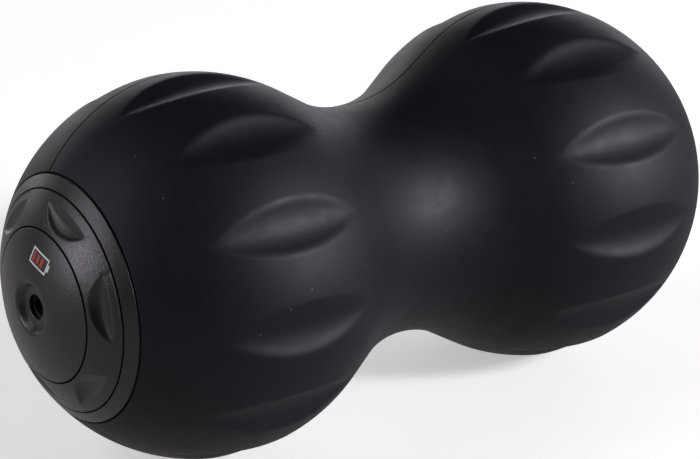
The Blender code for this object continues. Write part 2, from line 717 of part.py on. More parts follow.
turned("motor_shaft", [(59.0, 0), (59.0, 1.6), (58.6, SHAFT_R), (-12.6, SHAFT_R), (-13.0, 1.6),
                       (-13.0, 0)], PARTS, STEEL, MIDDLE, SMALL_STEPS)
for label, low in (("near", -12.0), ("far", 50.0)):
    weight = turned(label + "_weight", [(low + WEIGHT_T, SHAFT_BORE), (low + WEIGHT_T, WEIGHT_R),
                                        (low, WEIGHT_R), (low, SHAFT_BORE)],
                    PARTS, TUNGSTEN, MIDDLE, SHELL_STEPS)
    flat = boxes(label + "_weight_flat", [((low + WEIGHT_T / 2, 0, 14.8), (12, 40, 20))], CUTTERS,
                 None, UPRIGHT)
    combine(weight, flat)
for label, low in (("near", 5.2), ("far", 36.4)):
    turned(label + "_isolator", [(low + 6.4, MOTOR_R + GAP), (low + 6.4, CRADLE_BORE - GAP),
                                 (low, CRADLE_BORE - GAP), (low, MOTOR_R + GAP)],
           PARTS, ISOLATOR, MIDDLE, CORE_STEPS)

for label, side in (("upper", 1), ("lower", -1)):
    low, high = CRADLE_X0 + CRADLE_LIP, CRADLE_X1 - CRADLE_LIP
    tube = [(CRADLE_X1, CRADLE_LIP_R), (CRADLE_X1, CRADLE_R), (CRADLE_X0, CRADLE_R),
            (CRADLE_X0, CRADLE_LIP_R), (low, CRADLE_LIP_R), (low, CRADLE_BORE),
            (high, CRADLE_BORE), (high, CRADLE_LIP_R)]
    half = turned("cradle_" + label, tube, PARTS, FRAME, MIDDLE, CORE_STEPS)
    lugs = [((LUG_X, s * (LUG_Y - 0.6), 0), (8.0, 6.4, 8.0)) for s in (-1, 1)]
    combine(half, boxes(label + "_lugs", lugs, CUTTERS, None, UPRIGHT), "UNION")
    away = boxes(label + "_away", [((LUG_X, 0, -side * (20 - GAP / 2)), (60, 80, 40))], CUTTERS,
                 None, UPRIGHT)
    combine(half, away)
    holes = rods(label + "_lug_holes", [(LUG_X, -LUG_Y), (LUG_X, LUG_Y)], SCREW_HOLE_R, -6, 6,
                 CUTTERS, None, UPRIGHT)
    combine(half, holes)
for n, side in enumerate((-1, 1), 1):
    profile = [(5.7, 0), (5.7, 1.5), (5.1, 1.9), (4.1, 1.9), (4.1, 1.0), (-3.0, 1.0), (-3.8, 0)]
    turned(f"cradle_screw_{n}", profile, PARTS, STEEL, UPRIGHT, 10, (LUG_X, side * LUG_Y))

# --- Battery ---------------------------------------------------------------------------------

CELL_X1 = CELL_X0 + CELL_L
for n, side in enumerate((-1, 1), 1):
    cap_r = 2.8
    profile = [(CELL_X1, 0), (CELL_X1, CELL_R - 0.5), (CELL_X1 - 0.5, CELL_R),
               (CELL_X0 + 0.8, CELL_R), (CELL_X0 + 0.3, CELL_R - 0.5), (CELL_X0 + 0.3, cap_r),
               (CELL_X0, cap_r), (CELL_X0, 0)]
    turned(f"battery_cell_{n}", profile, PARTS, CELL, MIDDLE, CORE_STEPS, (0, side * CELL_Y))
holder = turned("battery_holder", [(CELL_X1 - 2, 0), (CELL_X1 - 2, HOLDER_R),
                                   (CELL_X0 + 2, HOLDER_R), (CELL_X0 + 2, 0)],
                PARTS, FRAME, MIDDLE, SHELL_STEPS)
for n, side in enumerate((-1, 1), 1):
    bore = rods(f"cell_bore_{n}", [(0, side * CELL_Y)], CELL_R + GAP, CELL_X0, CELL_X1 + 1, CUTTERS,
                None, MIDDLE, CORE_STEPS)
    combine(holder, bore)
combine(holder, boxes("holder_window", [((-56.4, 0, 0), (70, 8, 11))], CUTTERS, None, UPRIGHT))
boxes("cell_strip", [((CELL_X1 + 0.45, 0, 0), (0.3, 27, 7))], PARTS, NICKEL, UPRIGHT)


def lead(start, end, sag, steps=6):
    """Points of a short slack lead that leaves both ends along the long axis."""
    points = []
    for i in range(steps + 1):
        t = i / steps
        ease = t * t * (3 - 2 * t)
        bow = sag * math.sin(math.pi * t) ** 2
        points.append((start[0] + (end[0] - start[0]) * t,
                       start[1] + (end[1] - start[1]) * ease,
                       start[2] + (end[2] - start[2]) * ease + bow))
    return points


BOARD_FACE_X = BALL_X + BOARD_TOP - BOARD_T - GAP
for label, surface, side in (("red", RED, -1), ("black", BLACK, 1)):
    wire(f"battery_wire_{label}",
         lead((CELL_X0 - GAP, side * CELL_Y, 0), (-BOARD_FACE_X, side * CELL_Y, 5), 0.6),
         WIRE_R, surface, UPRIGHT)
    wire(f"motor_wire_{label}",
         lead((MOTOR_X1 + GAP, side * 12.0, 11.0), (BOARD_FACE_X, side * 12.0, 4), 5.0, 10),
         WIRE_R, surface, UPRIGHT)


def supply_route():
    """Cable points as (x, distance from the long axis) on the cable's own angle."""
    turn = math.radians(CABLE_ANGLE)
    inner = 12.5
    side = [(94.6, inner), (94.4, 16.0), (94.0, 19.4), (93.2, 22.6), (91.9, 25.1),
            (90.2, 26.7), (88.2, CABLE_CIRCLE), (60.0, CABLE_CIRCLE), (30.0, CABLE_CIRCLE)]
    route = [(-x, r) for x, r in side] + side[::-1]
    return [(x, -r * math.cos(turn), r * math.sin(turn)) for x, r in route]


wire("supply_cable", supply_route(), CABLE_R, GREY, UPRIGHT)

for piece in list(PARTS.objects):
    if piece.modifiers:
        baked(piece)
for leftover in list(CUTTERS.objects):
    bpy.data.objects.remove(leftover, do_unlink=True)
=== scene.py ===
"""Looks of the double-ball massage roller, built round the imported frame.

The long axis lies along X through the origin, with the charging inlet at -X and the power button at
+X. Lengths are written in millimetres and scaled to metres by MM. An angle round the axis is counted
from -Y towards +Z. At the ends, a height is counted outwards from the ball's centre.
"""

import json
import math

import bmesh
import bpy
import numpy as np
from mathutils import Matrix, Vector


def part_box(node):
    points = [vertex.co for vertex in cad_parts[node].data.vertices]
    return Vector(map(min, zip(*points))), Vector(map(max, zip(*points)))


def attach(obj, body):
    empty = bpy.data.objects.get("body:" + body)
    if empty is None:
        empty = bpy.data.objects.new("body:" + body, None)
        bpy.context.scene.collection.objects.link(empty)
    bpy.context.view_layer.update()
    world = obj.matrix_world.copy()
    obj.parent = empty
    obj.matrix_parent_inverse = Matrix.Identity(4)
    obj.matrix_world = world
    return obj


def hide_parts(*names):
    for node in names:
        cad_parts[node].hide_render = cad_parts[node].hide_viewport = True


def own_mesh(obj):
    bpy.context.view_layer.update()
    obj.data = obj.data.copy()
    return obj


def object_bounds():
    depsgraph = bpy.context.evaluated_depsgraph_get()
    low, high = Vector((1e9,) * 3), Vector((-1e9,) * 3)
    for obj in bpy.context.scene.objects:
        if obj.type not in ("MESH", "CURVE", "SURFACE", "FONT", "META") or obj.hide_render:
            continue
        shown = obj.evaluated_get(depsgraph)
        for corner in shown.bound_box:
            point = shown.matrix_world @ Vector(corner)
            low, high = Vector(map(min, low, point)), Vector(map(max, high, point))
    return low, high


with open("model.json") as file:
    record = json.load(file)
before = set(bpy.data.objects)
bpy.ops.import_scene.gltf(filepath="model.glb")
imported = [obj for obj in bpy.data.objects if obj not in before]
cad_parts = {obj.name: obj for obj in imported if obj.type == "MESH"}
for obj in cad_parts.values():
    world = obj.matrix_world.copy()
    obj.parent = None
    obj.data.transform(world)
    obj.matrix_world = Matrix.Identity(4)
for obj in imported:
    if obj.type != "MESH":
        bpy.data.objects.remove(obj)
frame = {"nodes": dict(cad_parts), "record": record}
CAD_LOW, CAD_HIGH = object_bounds()

MM = 0.001
MM_PER_M = 1000.0
SMOOTH_ANGLE = 38.0

# Outside shape, the same as the frame's
BALL_R = 57.0
BALL_X = 63.9
WAIST_R = 36.2
WAIST_ARC_R = 48.4

# Skins, and the seam between them
SKIN_T = 3.9
SKIN_BORE = 36.65
SKIN_EDGE_R = 0.22
SKIN_SUPPORT = 0.15
SEAM_ANGLE = 105.0
SEAM_HALF_GAP = 0.15
SEAM_GROOVE = 0.7

SCOOP_PITCH = 30.0
SCOOP_HALF_SPAN = 24.5
SCOOP_HALF_WIDTH = 7.4
SCOOP_BLUNTNESS = 0.45
SCOOP_LEAST_TAPER = 0.05
SCOOP_DEPTH = 2.4
SCOOP_RIM = 0.8

# Mesh of the skins: degrees between its rows and between its columns, and counts of them
ROW_FINE = 0.9
ROW_WIDE = 1.9
ROW_MARGIN = 1.5
ROW_LAST_GAP = 0.3
ROW_BORE_GAP = 0.15
WAIST_ROWS = 20
EDGE_ROWS = 4
COLUMN_FINE = 0.5
COLUMN_WIDE = 1.6
WIDE_COLUMNS = 4
COLUMN_FINE_FROM = 6.0
COLUMN_SEAM_GAP = 1.2
LINING_EVERY = 8

# End caps
PORT, SWITCH = -1, 1
CAP_SEGMENTS = 256
EDGE = 0.16
BACK_EDGE = 0.2
SOFT_EDGE = 0.3
BEZEL_R = 36.3
BEZEL_BORE = 32.82
BEZEL_WEB_R = 29.0
LAND_TOP = 42.6
WEB_TOP = 44.5
SKIRT_R = 30.9
FLANGE_TOP = 41.0
FLANGE_BASE = 38.6
FLANGE_BORE = 22.0

GRIP_SEGMENTS = 540
GRIP_R = 32.48
GRIP_BORE = 22.95
GRIP_BASE = 44.8
GRIP_WEB_R = 28.4
GRIP_NECK_TOP = 46.8
GRIP_NECK_R = 24.4
HOOK_BASE = 41.3
HOOK_TOP = 43.3
HOOK_R = 21.8
HOOK_EDGE = 0.15

DIMPLE_COUNT = 6
DIMPLE_PHASE = 15.0
DIMPLE_HALF_ANGLE = 18.5
DIMPLE_OUTER = 30.4
DIMPLE_WIDTH = 6.2
DIMPLE_DEPTH = 1.6
DIMPLE_DEEPEST = 0.46
DIMPLE_RIM = 0.4
DIMPLE_LEAST_TAPER = 0.03
DIMPLE_WIDTH_POWER = 0.62
DIMPLE_DEPTH_POWER = 0.8
DIMPLE_END_FALL = 2.0
DIMPLE_LOWEST = 46.0
DIMPLE_CLEAR = 0.3

DISC_R = 22.5
DISC_BACK_R = 54.0
DISC_SKIRT_BASE = 43.6
DISC_SKIRT_BORE = 20.5
BOSS_R = 17.0
BOSS_BORE = 13.5
HOLE_R = 3.65
HOLE_EDGE = 0.25
HOLE_LIP_BASE = 53.5
HOLE_LIP_EDGE = 0.15
DISH_FLOOR = 54.6
DISH_MIDDLE_R = 4.6
DISH_FLOOR_R = 6.1
DISH_R = 7.7
DISH_EDGE = 1.6
COLLAR_TOP = 52.2
COLLAR_BASE = 43.0
COLLAR_R = 7.3
COLLAR_BORE = 5.3

# Button, in a seat that slopes down to it, given as (height, radius)
BUTTON_R = 8.6
BUTTON_GAP = 0.3
SEAT_R = 10.8
SEAT_EDGE_TOP = 55.12
SEAT_SLOPE = ((55.3, 9.6), (55.6, 10.2))
GUIDE_TOP = 52.9
GUIDE_BASE = 48.0
GUIDE_R = 10.0
BUTTON_CROWN = ((55.6, 0.0), (55.57, 2.0), (55.5, 4.0), (55.36, 6.0), (55.2, 7.4))
BUTTON_SHOULDER = 55.0
BUTTON_EDGE = 0.5
BUTTON_BASE = 50.0
BUTTON_WALL_R = 7.2
BUTTON_ROOF = 53.4
STEM_R = 2.4
STEM_END = 38.9

SPRING_R = 4.6
SPRING_WIRE_R = 0.4
SPRING_TURNS = 4
SPRING_BASE = 46.8
SPRING_TOP = 52.6
SPRING_STEPS = 40
SPRING_SIDES = 12

# Inlet and light pipes. Their rounded tips are given as (height, radius)
JACK_R = 5.0
JACK_BORE = 3.15
JACK_TOP = 53.2
JACK_FLOOR = 40.0
JACK_BASE = 34.2
JACK_EDGE = 0.35
PIN_R = 1.0
PIN_BASE = 40.3
PIN_TIP = ((50.2, 0.0), (50.17, 0.3), (50.05, 0.6), (49.75, 0.88), (49.3, PIN_R))
PIN_EDGE = 0.1
PIPE_R = 1.05
PIPE_GAP = 0.2
PIPE_BASE = 34.9
PIPE_TIP = ((55.7, 0.0), (55.69, 0.3), (55.64, 0.6), (55.55, 0.85), (55.42, 1.0), (55.3, PIPE_R))
PIPE_CHAMFER = (0.2, 0.15)
PIPE_CIRCLE = 11.4
PIPE_ANGLES = (45.0, 75.0, 105.0, 135.0)

# Screw holes, with the heights that their drills run between
DRILL_SEGMENTS = 32
SCREW_CIRCLE = 26.7
SCREW_ANGLES = (45.0, 165.0, 285.0)
SCREW_HOLE_R = 1.3
SCREW_DRILL = (38.0, 42.0)
DISC_SCREW_CIRCLE = (BOSS_R + BOSS_BORE) / 2
DISC_SCREW_ANGLES = (15.0, 195.0)
PILOT_R = 1.25
PILOT_DRILL = (38.0, 46.5)
PIPE_DRILL = (33.0, 58.0)


# --- Small tools -----------------------------------------------------------------------------

ON_AXIS = 1e-9
FILLET_STEPS = 4
FILLET_SUPPORT = 0.4


def rise(radius, at_radius):
    """Height of a sphere's surface above its centre, at a distance from the axis."""
    return math.sqrt(radius ** 2 - at_radius ** 2)


def soft_floor(value, rim):
    """Smooth max of 0 and the value: a hard edge rounded over the width rim."""
    share = np.clip(0.5 + 0.5 * value / rim, 0.0, 1.0)
    return value * share + rim * share * (1 - share)


def around_axis(x, radius, turn):
    """Points at these places along, off and round the axis, with the turn in radians."""
    parts = np.broadcast_arrays(x, -radius * np.cos(turn), radius * np.sin(turn))
    return np.stack(parts, -1)


def travelled(path):
    """Distance along a path from its start to each of its points."""
    return np.concatenate([[0], np.cumsum(np.hypot(*np.diff(path, axis=0).T))])


def smooth(mesh):
    mesh.shade_smooth()
    mesh.set_sharp_from_angle(angle=math.radians(SMOOTH_ANGLE))


def new_object(name, points, faces):
    """A closed mesh piece, with its faces turned outwards and its edges shaded by angle."""
    data = bpy.data.meshes.new(name)
    data.from_pydata([tuple(p) for p in np.asarray(points, float) * MM], [], faces)
    shape = bmesh.new()
    shape.from_mesh(data)
    bmesh.ops.recalc_face_normals(shape, faces=shape.faces)
    shape.to_mesh(data)
    shape.free()
    smooth(data)
    made = bpy.data.objects.new(name, data)
    bpy.context.scene.collection.objects.link(made)
    return made


def rounded(corners):
    """A (height, radius) outline with rounded corners. Each corner is (height, radius, fillet), and
    a fillet of 0 keeps the point. A closed outline: the last corner joins the first."""
    out = []
    count = len(corners)
    for i, (h, r, fillet) in enumerate(corners):
        here = Vector((h, r))
        if fillet <= 0:
            out.append((h, r))
            continue
        before = (Vector(corners[i - 1][:2]) - here).normalized()
        after = (Vector(corners[(i + 1) % count][:2]) - here).normalized()
        half = before.angle(after) / 2
        reach = fillet / math.tan(half)
        middle = here + (before + after).normalized() * (fillet / math.sin(half))
        start = here + before * reach - middle
        end = here + after * reach - middle
        turn = start.angle_signed(end)
        out.append(tuple(here + before * (reach + FILLET_SUPPORT * fillet)))
        for k in range(FILLET_STEPS + 1):
            out.append(tuple(middle + Matrix.Rotation(-turn * k / FILLET_STEPS, 2) @ start))
        out.append(tuple(here + after * (reach + FILLET_SUPPORT * fillet)))
    return out


def plain(spots):
    """Corners without a fillet, from (height, radius) points."""
    return [(height, radius, 0) for height, radius in spots]


def backs(spots):
    """Corners of the hidden side, from (height, radius) points."""
    return [(height, radius, BACK_EDGE) for height, radius in spots]


def dome(radius, low, high, steps):
    """Corners on a sphere from one distance from the axis to another, ends left out, so that the
    corners at both ends can be rounded."""
    spots = [low + (high - low) * i / steps for i in range(1, steps)]
    return plain((rise(radius, r), r) for r in spots)


def rim(radius, fillet=EDGE):
    """The corner where a cap's outer surface ends, at a distance from the axis."""
    return [(rise(BALL_R, radius), radius, fillet)]


def lathe(name, side, outline, steps, bend=None):
    """Turns a (height, radius) outline round the axis. The outline closes on itself unless it starts
    and ends on the axis. Bend may move each ring's points: bend(height, radius, angles)."""
    angles = 2 * math.pi * np.arange(steps) / steps
    points = []
    rings = []
    for height, radius in outline:
        if radius <= ON_AXIS:
            rings.append([len(points)])
            points.append((side * (BALL_X + height), 0.0, 0.0))
            continue
        h = np.full(steps, height)
        r = np.full(steps, radius)
        if bend:
            h, r = bend(h, r, angles)
        rings.append(list(range(len(points), len(points) + steps)))
        points.extend(around_axis(side * (BALL_X + h), r, angles))
    pairs = list(zip(rings, rings[1:]))
    if outline[0][1] > ON_AXIS:
        pairs.append((rings[-1], rings[0]))
    faces = []
    for low, high in pairs:
        for i in range(steps):
            after = (i + 1) % steps
            if len(low) == 1:
                faces.append((low[0], high[i], high[after]))
            elif len(high) == 1:
                faces.append((low[i], low[after], high[0]))
            else:
                faces.append((low[i], low[after], high[after], high[i]))
    return new_object(name, points, faces)


def spot_at(side, height, radius, angle):
    """A point of an end cap, in millimetres, from its height, radius and angle in degrees."""
    turn = math.radians(angle)
    return Vector((side * (BALL_X + height), -radius * math.cos(turn), radius * math.sin(turn)))


def ring_of_holes(circle, angles, radius, heights):
    """Equal round holes on a circle round the axis, with the heights that their drills run between."""
    return [(circle, angle, radius, *heights) for angle in angles]


def drilled(obj, side, holes):
    """Cuts straight round holes along the axis: each is (radius from the axis, angle, hole radius,
    lowest height, highest height)."""
    shape = bmesh.new()
    spin = Matrix.Rotation(math.radians(90), 4, "Y")
    for circle, angle, hole, low, high in holes:
        middle = spot_at(side, (low + high) / 2, circle, angle)
        bmesh.ops.create_cone(shape, cap_ends=True, segments=DRILL_SEGMENTS, radius1=hole * MM,
                              radius2=hole * MM, depth=(high - low) * MM,
                              matrix=Matrix.Translation(middle * MM) @ spin)
    data = bpy.data.meshes.new("drill")
    shape.to_mesh(data)
    shape.free()
    drill = bpy.data.objects.new("drill", data)
    bpy.context.scene.collection.objects.link(drill)
    cut = obj.modifiers.new("holes", "BOOLEAN")
    cut.object = drill
    cut.solver = "EXACT"
    bpy.context.view_layer.update()
    graph = bpy.context.evaluated_depsgraph_get()
    result = bpy.data.meshes.new_from_object(obj.evaluated_get(graph))
    obj.modifiers.clear()
    obj.data = result
    bpy.data.objects.remove(drill)
    smooth(result)


# --- Materials -------------------------------------------------------------------------------

class Surface:
    """A node material under construction. Its patterns are read in the piece's own coordinates."""

    def __init__(self, name, metallic=0.0):
        self.made = bpy.data.materials.new(name)
        self.made.use_nodes = True
        self.nodes = self.made.node_tree.nodes
        self.links = self.made.node_tree.links
        self.shader = self.nodes["Principled BSDF"]
        self.shader.inputs["Metallic"].default_value = metallic
        self.where = self.nodes.new("ShaderNodeTexCoord").outputs["Object"]

    def stretched(self, scale):
        """Coordinates scaled by a different amount along each axis."""
        node = self.nodes.new("ShaderNodeMapping")
        node.inputs["Scale"].default_value = scale
        self.links.new(self.where, node.inputs["Vector"])
        return node.outputs["Vector"]

    def noise(self, size, detail=3.0, where=None, roughness=0.55):
        """Noise with features of this size in millimetres."""
        node = self.nodes.new("ShaderNodeTexNoise")
        node.inputs["Scale"].default_value = MM_PER_M / size
        node.inputs["Detail"].default_value = detail
        node.inputs["Roughness"].default_value = roughness
        self.links.new(where or self.where, node.inputs["Vector"])
        return node.outputs["Fac"]

    def remap(self, value, low, high, from_low=0.3, from_high=0.7):
        """Stretches a value's range, by default the middle of a noise's range, to low and high."""
        node = self.nodes.new("ShaderNodeMapRange")
        node.inputs["From Min"].default_value = from_low
        node.inputs["From Max"].default_value = from_high
        node.inputs["To Min"].default_value = low
        node.inputs["To Max"].default_value = high
        self.links.new(value, node.inputs["Value"])
        return node.outputs["Result"]

    def math(self, kind, a, b):
        """One step of arithmetic on two values, each a number or a socket."""
        node = self.nodes.new("ShaderNodeMath")
        node.operation = kind
        for socket, value in zip(node.inputs, (a, b)):
            if isinstance(value, (int, float)):
                socket.default_value = value
            else:
                self.links.new(value, socket)
        return node.outputs["Value"]

    def blend(self, share, first, second):
        """Mixes two colours, or a colour and a socket."""
        node = self.nodes.new("ShaderNodeMix")
        node.data_type = "RGBA"
        self.links.new(share, node.inputs["Factor"])
        for socket, value in ((node.inputs[6], first), (node.inputs[7], second)):
            if isinstance(value, tuple):
                socket.default_value = (*value, 1.0)
            else:
                self.links.new(value, socket)
        return node.outputs[2]

    def bump(self, heights):
        """Stacks height patterns, each a (value, depth in millimetres) pair."""
        normal = None
        for value, depth in heights:
            node = self.nodes.new("ShaderNodeBump")
            node.inputs["Strength"].default_value = 1.0
            node.inputs["Distance"].default_value = depth * MM
            self.links.new(value, node.inputs["Height"])
            if normal:
                self.links.new(normal, node.inputs["Normal"])
            normal = node.outputs["Normal"]
        self.links.new(normal, self.shader.inputs["Normal"])

    def feed(self, socket, value):
        """Links a value to one of the shader's own sockets."""
        self.links.new(value, self.shader.inputs[socket])


def specks(surface, spacing, size, share):
    """1 on sparse dust specks and 0 elsewhere: one point per cell, kept in a share of the cells."""
    cells = surface.nodes.new("ShaderNodeTexVoronoi")
    cells.inputs["Scale"].default_value = MM_PER_M / spacing
    surface.links.new(surface.where, cells.inputs["Vector"])
    near = surface.math("LESS_THAN", cells.outputs["Distance"], size / spacing)
    split = surface.nodes.new("ShaderNodeSeparateColor")
    surface.links.new(cells.outputs["Color"], split.inputs["Color"])
    kept = surface.math("LESS_THAN", split.outputs["Red"], share)
    return surface.math("MULTIPLY", near, kept)


def silicone():
    """Matt black soft-touch silicone with a faint bloom, fine tooth and a few dust specks."""
    s = Surface("look_black_silicone")
    cloud = s.remap(s.noise(34.0, 2.0), 0.0, 1.0)
    body = s.blend(cloud, (0.0036, 0.0033, 0.0066), (0.0052, 0.0047, 0.0088))
    dust = specks(s, spacing=8.0, size=0.34, share=0.4)
    s.feed("Base Color", s.blend(dust, body, (0.06, 0.06, 0.065)))
    s.feed("Roughness", s.remap(s.noise(6.0, 4.0), 0.50, 0.58))
    s.bump([(s.noise(0.5, 3.0, roughness=0.7), 0.03), (s.noise(2.6, 2.0), 0.004)])
    s.shader.inputs["IOR"].default_value = 1.36
    s.shader.inputs["Specular Tint"].default_value = (0.95, 0.93, 1.0, 1.0)
    return s.made


def cap_plastic():
    """Dark grey ABS with a fine spark-eroded grain, rubbed a little smoother in places."""
    s = Surface("look_cap_plastic")
    grain = s.noise(0.55, 3.0, roughness=0.7)
    cloud = s.remap(s.noise(18.0, 2.0), 0.0, 1.0)
    s.feed("Base Color", s.blend(cloud, (0.0180, 0.0172, 0.0190), (0.0215, 0.0205, 0.0225)))
    s.feed("Roughness", s.remap(grain, 0.25, 0.38))
    s.bump([(grain, 0.07), (s.noise(5.0, 2.0), 0.004)])
    s.shader.inputs["IOR"].default_value = 1.5
    s.shader.inputs["Specular Tint"].default_value = (1.0, 0.92, 0.98, 1.0)
    return s.made


def moulded(name, dark, light, low, high, grain=0.6, depth=0.01):
    """Plain moulded plastic or rubber. Its colour and its roughness drift between two values."""
    s = Surface(name)
    s.feed("Base Color", s.blend(s.remap(s.noise(9.0), 0.0, 1.0), dark, light))
    s.feed("Roughness", s.remap(s.noise(3.0), low, high))
    s.bump([(s.noise(grain), depth)])
    return s.made


def metal(name, dark, light, low, high):
    """Bare or plated metal with faint turning marks round the X axis."""
    s = Surface(name, metallic=1.0)
    marks = s.noise(0.5, 2.0, s.stretched((6.0, 0.6, 0.6)))
    s.feed("Base Color", s.blend(s.remap(s.noise(7.0), 0.0, 1.0), dark, light))
    s.feed("Roughness", s.remap(marks, low, high))
    s.bump([(marks, 0.004)])
    return s.made


def circuit_board():
    """Green solder mask over faint copper tracks."""
    s = Surface("look_circuit_board")
    tracks = s.nodes.new("ShaderNodeTexVoronoi")
    tracks.feature = "DISTANCE_TO_EDGE"
    tracks.inputs["Scale"].default_value = MM_PER_M / 3.2
    s.links.new(s.where, tracks.inputs["Vector"])
    track = s.remap(tracks.outputs["Distance"], 1.0, 0.0, 0.04, 0.07)
    s.feed("Base Color", s.blend(track, (0.012, 0.10, 0.035), (0.03, 0.19, 0.07)))
    s.feed("Roughness", s.remap(s.noise(2.0), 0.3, 0.42))
    s.bump([(track, 0.03)])
    return s.made


def ink(name, dark, light):
    """Pad-printed ink: slightly uneven, with tiny pinholes."""
    s = Surface(name)
    s.feed("Base Color", s.blend(s.remap(s.noise(0.5), 0.0, 1.0), dark, light))
    s.feed("Roughness", s.remap(s.noise(1.2), 0.42, 0.56))
    s.bump([(s.noise(0.3), 0.004)])
    return s.made


def clear_pipe():
    """Frosted clear acrylic light pipe."""
    s = Surface("look_light_pipe")
    s.feed("Base Color", s.blend(s.remap(s.noise(1.5), 0.0, 1.0), (0.62, 0.65, 0.68),
                                 (0.74, 0.77, 0.8)))
    s.feed("Roughness", s.remap(s.noise(0.5), 0.16, 0.3))
    s.bump([(s.noise(0.4), 0.004)])
    s.shader.inputs["Subsurface Weight"].default_value = 0.4
    s.shader.inputs["Subsurface Radius"].default_value = (0.002, 0.002, 0.002)
    return s.made


LOOKS = {
    "black_silicone": silicone(),
    "cap_plastic": cap_plastic(),
    "frame_plastic": moulded("look_frame_plastic", (0.05, 0.05, 0.053), (0.065, 0.065, 0.068),
                             0.42, 0.56),
    "zinc_steel": metal("look_zinc_steel", (0.50, 0.50, 0.51), (0.62, 0.62, 0.62), 0.25, 0.42),
    "weight_metal": metal("look_weight_metal", (0.26, 0.25, 0.24), (0.36, 0.35, 0.33), 0.35, 0.55),
    "motor_can_steel": metal("look_motor_can", (0.55, 0.55, 0.57), (0.66, 0.66, 0.67), 0.2, 0.34),
    "brass": metal("look_brass", (0.70, 0.50, 0.20), (0.80, 0.60, 0.28), 0.22, 0.38),
    "ferrite": moulded("look_ferrite", (0.04, 0.04, 0.043), (0.06, 0.058, 0.058), 0.5, 0.7),
    "core_iron": metal("look_core_iron", (0.2, 0.19, 0.18), (0.3, 0.29, 0.28), 0.4, 0.6),
    "isolator_rubber": moulded("look_isolator", (0.018, 0.018, 0.018), (0.03, 0.03, 0.03), 0.7,
                               0.88),
    "circuit_board": circuit_board(),
    "switch_body": moulded("look_switch_body", (0.003, 0.003, 0.003), (0.005, 0.005, 0.005), 0.7,
                           0.85),
    "cell_sleeve": moulded("look_cell_sleeve", (0.012, 0.10, 0.3), (0.02, 0.14, 0.38), 0.22, 0.34,
                           1.6, 0.02),
    "nickel_strip": metal("look_nickel", (0.58, 0.56, 0.52), (0.7, 0.68, 0.64), 0.25, 0.4),
    "light_pipe": clear_pipe(),
    "red_wire": moulded("look_red_wire", (0.45, 0.012, 0.012), (0.58, 0.02, 0.018), 0.32, 0.45),
    "black_wire": moulded("look_black_wire", (0.01, 0.01, 0.01), (0.02, 0.02, 0.02), 0.32, 0.45),
    "grey_cable": moulded("look_grey_cable", (0.15, 0.15, 0.16), (0.21, 0.21, 0.22), 0.4, 0.55),
}
WHITE_INK = ink("look_white_ink", (0.66, 0.66, 0.67), (0.78, 0.78, 0.79))
RED_INK = ink("look_red_ink", (0.34, 0.035, 0.03), (0.44, 0.05, 0.04))

BODY_OF_NODE = {n: body for body, members in frame["record"]["behaviour"]["bodies"].items()
                for n in members}
SLOT_OF_NODE = {row["node"]: row["material_slot"] for row in frame["record"]["subparts"]}
for node_name, node in frame["nodes"].items():
    node.data.materials.clear()
    node.data.materials.append(LOOKS[SLOT_OF_NODE[node_name]])


def stands_for(obj, node_name):
    """The piece takes the place of this CAD node: its body, its finish and its slot."""
    slot = SLOT_OF_NODE[node_name]
    obj.data.materials.clear()
    obj.data.materials.append(LOOKS[slot])
    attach(obj, BODY_OF_NODE[node_name])
    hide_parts(node_name)
    return obj


# --- Skins -----------------------------------------------------------------------------------

WAIST_Y = WAIST_R + WAIST_ARC_R
JOIN_ANGLE = math.atan2(WAIST_Y, -BALL_X) - math.acos(
    (BALL_R + WAIST_ARC_R) / math.hypot(BALL_X, WAIST_Y))


def half_outline(inset, start):
    """(x, radius, normal x, normal radius, ball angle) down the outline from one bore to the middle
    of the waist. The ball angle is None off the ball."""
    ball = BALL_R - inset
    arc = WAIST_ARC_R + inset
    end = math.degrees(JOIN_ANGLE)
    ball_angles = []
    angle = start
    while angle < end - ROW_LAST_GAP:
        ball_angles.append(angle)
        angle += ROW_FINE if abs(angle - 90) < SCOOP_HALF_SPAN + ROW_MARGIN else ROW_WIDE
    out = []
    for angle in ball_angles + [end]:
        turn = math.radians(angle)
        out.append((BALL_X + ball * math.cos(turn), ball * math.sin(turn),
                    math.cos(turn), math.sin(turn), angle))
    lean = JOIN_ANGLE - math.pi / 2
    for i in range(WAIST_ROWS):
        turn = lean * (1 - i / WAIST_ROWS)
        out.append((arc * math.sin(turn), WAIST_Y - arc * math.cos(turn),
                    -math.sin(turn), math.cos(turn), None))
    out.append((0.0, WAIST_Y - arc, 0.0, 1.0, None))
    return out


def skin_rows():
    """Rows of the outer surface from the +X bore to the -X bore, with the rounded bore edges."""
    edge_end = math.asin((SKIN_BORE + SKIN_EDGE_R) / (BALL_R - SKIN_EDGE_R))
    middle = Vector((BALL_X + (BALL_R - SKIN_EDGE_R) * math.cos(edge_end), SKIN_BORE + SKIN_EDGE_R))
    rows = []
    for i in range(EDGE_ROWS + 1):
        turn = -math.pi / 2 + (edge_end + math.pi / 2) * i / EDGE_ROWS
        out = Vector((math.cos(turn), math.sin(turn)))
        rows.append((*(middle + out * SKIN_EDGE_R), out.x, out.y, None))
    rows += half_outline(0.0, math.degrees(edge_end) + ROW_BORE_GAP)
    mirrored = [(-x, r, -nx, nr, angle) for x, r, nx, nr, angle in rows[:-1]]
    return rows + mirrored[::-1]


